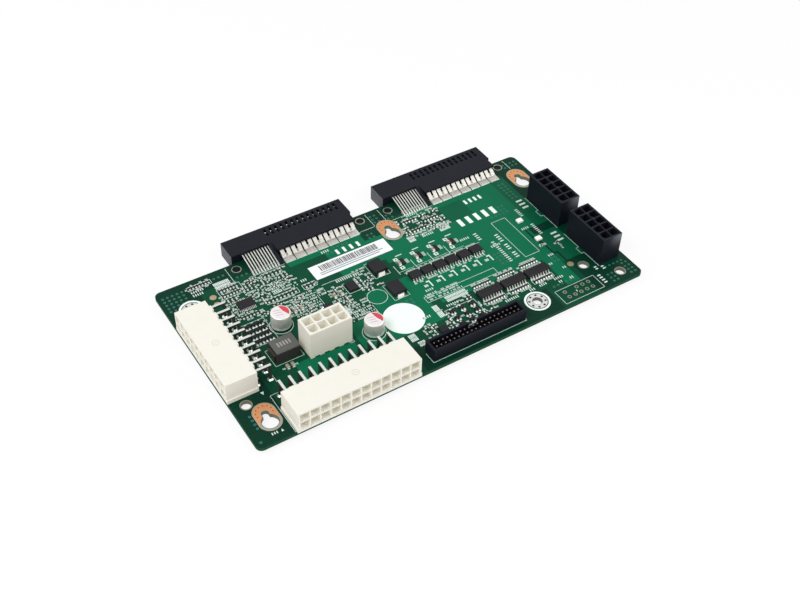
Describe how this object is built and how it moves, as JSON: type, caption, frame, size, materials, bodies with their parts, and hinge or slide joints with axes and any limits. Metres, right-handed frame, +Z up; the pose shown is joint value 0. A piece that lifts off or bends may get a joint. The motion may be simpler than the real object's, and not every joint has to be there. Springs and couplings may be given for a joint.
{
  "type": "power supply backplane board",
  "caption": "Green power distribution board with keyed white and black power headers along its edges, card-edge supply sockets on the rear edge, a shrouded signal header and keyhole mounts.",
  "frame": {"origin": "middle of the whole part in plan, on the plane that the soldered tails and sockets rest on", "axes": "+X along the board's long edge, +Y from the cable headers' edge to the supply sockets' edge, +Z up from the board's component side"},
  "size_m": [0.1764, 0.1014, 0.0159],
  "materials": {
    "laminate": "satin solder mask over glass laminate",
    "white_plastic": "satin moulded",
    "black_plastic": "satin moulded",
    "tinned_metal": "bright tin",
    "gold_pin": "bright plated",
    "solder": "bright solder",
    "can_metal": "satin",
    "seal_rubber": "matte",
    "ferrite": "matte sintered",
    "copper": "tinned copper",
    "chip_black": "matte moulded",
    "resistor_ceramic": "glazed",
    "capacitor_ceramic": "matte",
    "lamp_lens": "clear white",
    "label_paper": "matte"
  },
  "bodies": {
    "root": {"circuit_board": "laminate", "main_power_header_housing": "white_plastic", "side_power_header_housing": "white_plastic", "upright_power_header_housing": "white_plastic", "front_black_header_housing": "black_plastic", "rear_black_header_housing": "black_plastic", "left_socket_housing": "black_plastic", "right_socket_housing": "black_plastic", "box_header_shroud": "black_plastic", "main_power_header_pins": "tinned_metal", "side_power_header_pins": "tinned_metal", "upright_power_header_pins": "tinned_metal", "front_black_header_pins": "tinned_metal", "rear_black_header_pins": "tinned_metal", "left_socket_power_contacts": "tinned_metal", "left_socket_signal_contacts": "tinned_metal", "right_socket_power_contacts": "tinned_metal", "right_socket_signal_contacts": "tinned_metal", "surge_diode_leads": "tinned_metal", "driver_chip_leads": "tinned_metal", "logic_chip_leads": "tinned_metal", "regulator_chip_leads": "tinned_metal", "box_header_pins": "gold_pin", "main_power_header_solder": "solder", "side_power_header_solder": "solder", "upright_power_header_solder": "solder", "front_black_header_solder": "solder", "rear_black_header_solder": "solder", "left_capacitor_can": "can_metal", "right_capacitor_can": "can_metal", "left_capacitor_seal": "seal_rubber", "right_capacitor_seal": "seal_rubber", "inductor_core": "ferrite", "inductor_clip": "copper", "front_surge_diode": "chip_black", "rear_surge_diode": "chip_black", "driver_chip_bodies": "chip_black", "logic_chip_bodies": "chip_black", "monitor_chip": "chip_black", "regulator_chip_bodies": "chip_black", "controller_chip": "chip_black", "switch_chip": "chip_black", "left_transistors": "chip_black", "middle_transistors": "chip_black", "left_resistors": "resistor_ceramic", "supply_resistors": "resistor_ceramic", "rear_resistors": "resistor_ceramic", "bypass_capacitors": "capacitor_ceramic", "indicator_lamps": "lamp_lens", "paper_label": "label_paper"}
  },
  "joints": []
}
